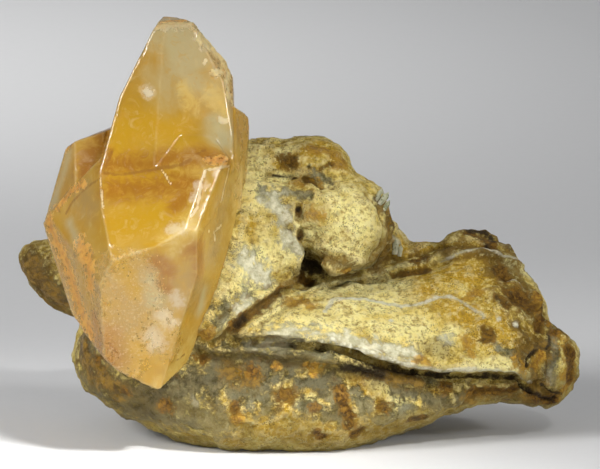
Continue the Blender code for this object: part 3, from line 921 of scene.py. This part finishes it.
# Painted shade for hollows, then dark cracks and the painted shade of the crevice under the shelf's lip
HOLLOW_SHADE, CRACK_AND_SHADE = (0.16, 0.085, 0.018), (0.022, 0.014, 0.006)
# How far red, green and blue light spread under the surface, as shares of the last number
GLOW, GLOW_DEPTH = (1.0, 0.75, 0.45), 0.8 * MM


def stone_look():
    look = Maker("matrix")
    broad = look.noise(9.0, detail=4.0)
    middle = look.noise(3.2, detail=4.0, rough=0.6)
    cloudy = look.noise(2.0, detail=5.0, rough=0.65)
    ragged = look.noise(1.6, detail=5.0, rough=0.7)
    streaks = look.noise(0.9, detail=4.0, rough=0.7, distortion=1.5)
    grit = look.noise(0.8, detail=4.0, rough=0.7)
    fine = look.noise(0.45, detail=4.0, rough=0.65)
    edges = look.mix_values(0.4, ragged, middle)
    hollow = look.ramp(look.attribute("hollow"), 0.03, 0.16)
    raised_highlight = look.ramp(look.attribute("hollow"), -0.01, -0.08)
    unseen = look.math("SUBTRACT", 1.0, look.attribute("seen"))

    # The crust, from cream to gold, with dark grit, fine pores, a painted highlight on raised grains, and
    # cream zones that partly paint light where the stone lies in shadow
    crust = look.shades(broad, CRUST_LIGHT, CRUST_DARK, 0.40, 0.60)
    crust = look.over(crust, BACK_PATCH, look.ramp(look.noise(8.0), 0.52, 0.60), unseen)
    crust = look.over(crust, BACK_CRUST, unseen, 0.5)
    crust = look.over(crust, GOLDEN, look.layer("golden", middle, wobble=2.5, soft=0.8))
    # Cream zones, partly painted light where the stone lies in shadow
    crust = look.over(crust, CREAM_AND_LIGHT, look.layer("cream_and_light", middle, wobble=2.5, soft=0.8))
    crust = look.over(crust, TAWNY, look.ramp(middle, 0.50, 0.66, to_high=0.5))
    crust = look.over(crust, STRAW, look.ramp(ragged, 0.50, 0.66, to_high=0.35))
    crust = look.over(crust, GRIT_DARK, look.ramp(grit, 0.50, 0.62, to_high=0.62))
    crust = look.over(crust, GRIT_LIGHT, look.ramp(grit, 0.48, 0.37, to_high=0.50))
    # A painted highlight on raised grains
    crust = look.over(crust, RAISED_HIGHLIGHT, raised_highlight, 0.25)
    pore = look.times(look.ramp(look.cells(0.34), 0.36, 0.16), look.ramp(look.noise(2.2), 0.46, 0.56))
    crust = look.over(crust, PORE, pore, 0.9)

    # The waxy grey stone between the crust's patches, white in places
    waxy = look.layer("grey", edges, wobble=3.0, soft=0.7)
    waxy = look.most(waxy, look.times(look.ramp(look.noise(12.0), 0.52, 0.58), unseen))
    wax = look.shades(cloudy, WAX_DARK, WAX_LIGHT)
    wax = look.over(wax, WAX_CLOUD, look.ramp(look.noise(4.0), 0.50, 0.62))
    wax = look.over(wax, STREAK_LIGHT, look.ramp(streaks, 0.54, 0.66, to_high=0.5))
    wax = look.over(wax, STREAK_DARK, look.ramp(streaks, 0.46, 0.34, to_high=0.7))
    white = look.shades(cloudy, WHITE_DARK, WHITE_LIGHT)
    wax = look.over(wax, white, look.layer("pale", edges, wobble=3.0, soft=1.0), 0.9)
    colour = look.mix(waxy, crust, wax)

    # Painted shade on what faces down, and painted shade that darkens the keel and other places
    under_shade = look.shades(middle, UNDER_SHADE_DARK, UNDER_SHADE_LIGHT, 0.4, 0.6)
    colour = look.over(colour, under_shade, look.attribute("under"), 0.55)
    # Painted shade, multiplied in where the shaded marks lie
    shaded = look.times(look.layer("shaded", edges, wobble=2.0, soft=0.9), 0.9)
    colour = look.mix(shaded, colour, PAINTED_SHADE_TINT, "MULTIPLY")

    # Umber zones, iron stains, veins, painted shade in hollows, and cracks with the painted shade of the
    # crevice under the shelf's lip
    umber = look.shades(ragged, UMBER_DARK, UMBER_LIGHT)
    colour = look.over(colour, umber, look.layer("umber", edges, wobble=3.0, soft=0.7), 0.85)
    orange = look.shades(grit, ORANGE_DARK, ORANGE_LIGHT, 0.40, 0.60)
    colour = look.over(colour, orange, look.layer("orange", edges, wobble=3.0, soft=0.5), 0.8)
    scattered = look.math("MULTIPLY_ADD", look.math("SUBTRACT", ragged, 0.5), -1.5, look.cells(9.0))
    scattered = look.times(look.ramp(scattered, 0.32, 0.20), unseen)
    brown = look.most(look.layer("brown", edges, wobble=2.0, soft=0.4), scattered)
    rust = look.shades(grit, RUST_DARK, RUST_LIGHT, 0.40, 0.60)
    colour = look.over(colour, rust, brown, 0.9)
    vein = look.shades(ragged, VEIN_DARK, VEIN_LIGHT, 0.4, 0.6)
    colour = look.over(colour, vein, look.layer("vein", ragged, wobble=1.8, soft=0.7), 0.85)
    # Painted shade in the hollows
    colour = look.over(colour, HOLLOW_SHADE, hollow, 0.45)
    # Dark cracks, and painted shade in the crevice under the shelf's lip
    colour = look.over(colour, CRACK_AND_SHADE, look.layer("dark", ragged, wobble=2.0, soft=0.6), 0.9)

    dull, waxen = look.ramp(fine, 0.3, 0.7, 0.62, 0.88), look.ramp(cloudy, 0.35, 0.65, 0.25, 0.45)
    rough = look.mix_values(waxy, dull, waxen)
    rough = look.mix_values(look.times(brown, 0.7), rough, 0.38)
    grain = look.math("MULTIPLY_ADD", pore, -0.8, look.math("ADD", fine, look.times(grit, 1.4)))
    depth = look.mix_values(waxy, grain, look.times(look.math("ADD", cloudy, streaks), 0.4))
    return look.finish(
        Base_Color=colour, Roughness=rough, Normal=look.bump(depth, 0.95), Specular_IOR_Level=0.2,
        Subsurface_Weight=0.1, Subsurface_Radius=GLOW, Subsurface_Scale=GLOW_DEPTH,
    )


# Small crystals on the stone

# Half width in pixels, then the pixels of the root and of the point
SMALL_CRYSTALS = [
    (2.4, (378, 197), (382, 188)),
    (3.4, (382, 201), (389, 192)),
    (2.6, (385, 208), (390, 200)),
    (3.6, (395, 250), (396, 239)),
    (2.6, (400, 252), (401, 245)),
]
SIDES = 6
# How deep a root is sunk in the stone, in millimetres
SUNK = 0.8
# How thick the root is, as a share of the shoulder, and where the shoulder is, as a share of the length
ROOT, SHOULDER = 0.8, 0.55


def ring(shape, centre, axis, radius):
    """Vertices of a regular polygon across an axis."""
    across = axis.orthogonal().normalized()
    along = axis.cross(across)
    angles = [2 * math.pi * k / SIDES for k in range(SIDES)]
    return [shape.verts.new(centre + (across * math.cos(a) + along * math.sin(a)) * radius) for a in angles]


def small_crystals_piece(stone):
    """Short pointed prisms, each rooted in the stone where its first pixel meets it."""
    surface = tree_of(stone.data)
    shape = bmesh.new()
    for half_width, start, end in SMALL_CRYSTALS:
        root = on_surface(surface, *start)
        way = sight(*end)
        point = EYE + way * ((root - EYE).dot(BACK) / way.dot(BACK))
        axis = (point - root).normalized()
        radius = half_width * PIXEL
        low = ring(shape, root - axis * SUNK * MM, axis, radius * ROOT)
        high = ring(shape, root.lerp(point, SHOULDER), axis, radius)
        top = shape.verts.new(point)
        shape.faces.new(low[::-1])
        for k in range(SIDES):
            n = (k + 1) % SIDES
            shape.faces.new((low[k], low[n], high[n], high[k]))
            shape.faces.new((high[k], high[n], top))
    bmesh.ops.recalc_face_normals(shape, faces=shape.faces)
    return object_from(shape, "small_crystals")


# Their colours, in linear red, green and blue
SMALL_DARK, SMALL_LIGHT = (0.30, 0.33, 0.16), (0.62, 0.60, 0.42)


def small_crystals_look():
    look = Maker("small_crystals")
    cloudy = look.noise(1.2, detail=4.0, rough=0.6)
    return look.finish(
        Base_Color=look.shades(cloudy, SMALL_DARK, SMALL_LIGHT, 0.35, 0.65),
        Roughness=look.ramp(cloudy, 0.3, 0.7, 0.2, 0.4), IOR=CALCITE_IOR, Transmission_Weight=CLEARNESS,
        Normal=look.bump(cloudy, 0.1),
    )


# The specimen

calcite = calcite_piece()
calcite.data.materials.append(calcite_look())
stone = stone_piece()
stone.data.materials.append(stone_look())
small_crystals = small_crystals_piece(stone)
small_crystals.data.materials.append(small_crystals_look())
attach(small_crystals, "root")
for piece, node, slot in ((calcite, "calcite_crystals", "calcite"), (stone, "matrix_stone", "matrix")):
    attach(piece, "root")
    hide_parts(node)


# Studio

# Half the floor's side, in metres, and its two close greys
FLOOR = 4.0
FLOOR_DARK, FLOOR_LIGHT = (0.70, 0.70, 0.70), (0.72, 0.72, 0.72)
# The light from all round, and how strong it is
SKY, SKY_STRENGTH = (0.97, 0.98, 1.0), 0.31
# Each lamp's place and the point that it faces, in metres, then its width in metres, its watts and
# its spread in degrees
LAMPS = {
    "key_right": ((0.24, -0.46, 0.56), (-0.034, -0.066, 0.0), 0.14, 0.087, 11),
    "fill_left": ((-0.5, -0.35, 0.4), (-0.02, -0.06, 0.03), 0.3, 0.19, 30),
    "fill_right": ((0.35, -0.75, 0.10), (0.01, -0.03, 0.02), 0.4, 0.09, 14),
    "fill_low": ((0.60, -0.20, 0.22), (0.066, -0.03, 0.0), 0.3, 0.07, 10),
    "backdrop": ((-0.30, 0.25, 0.80), (-0.12, 0.34, 0.0), 0.3, 0.25, 34),
}


def floor():
    shape = bmesh.new()
    bmesh.ops.create_grid(shape, x_segments=1, y_segments=1, size=FLOOR)
    look = Maker("floor")
    colour = look.mix(look.noise(2.0, detail=2.0), FLOOR_DARK, FLOOR_LIGHT)
    thing = object_from(shape, "floor")
    thing.data.materials.append(look.finish(Base_Color=colour, Roughness=0.65, Specular_IOR_Level=0.3))


def lamp(name, place, aim, width, watts, spread):
    data = bpy.data.lights.new(name, "AREA")
    data.shape = "DISK"
    data.size, data.energy = width, watts
    data.spread = math.radians(spread)
    light = bpy.data.objects.new(name, data)
    light.location = place
    light.rotation_mode = "QUATERNION"
    light.rotation_quaternion = (Vector(place) - Vector(aim)).to_track_quat("Z", "Y")
    bpy.context.scene.collection.objects.link(light)


floor()
for name, facts in LAMPS.items():
    lamp(name, *facts)

world = bpy.data.worlds.new("studio")
world.use_nodes = True
background = world.node_tree.nodes["Background"].inputs
background["Color"].default_value = (*SKY, 1.0)
background["Strength"].default_value = SKY_STRENGTH
bpy.context.scene.world = world
bpy.context.scene.view_settings.view_transform = "Standard"
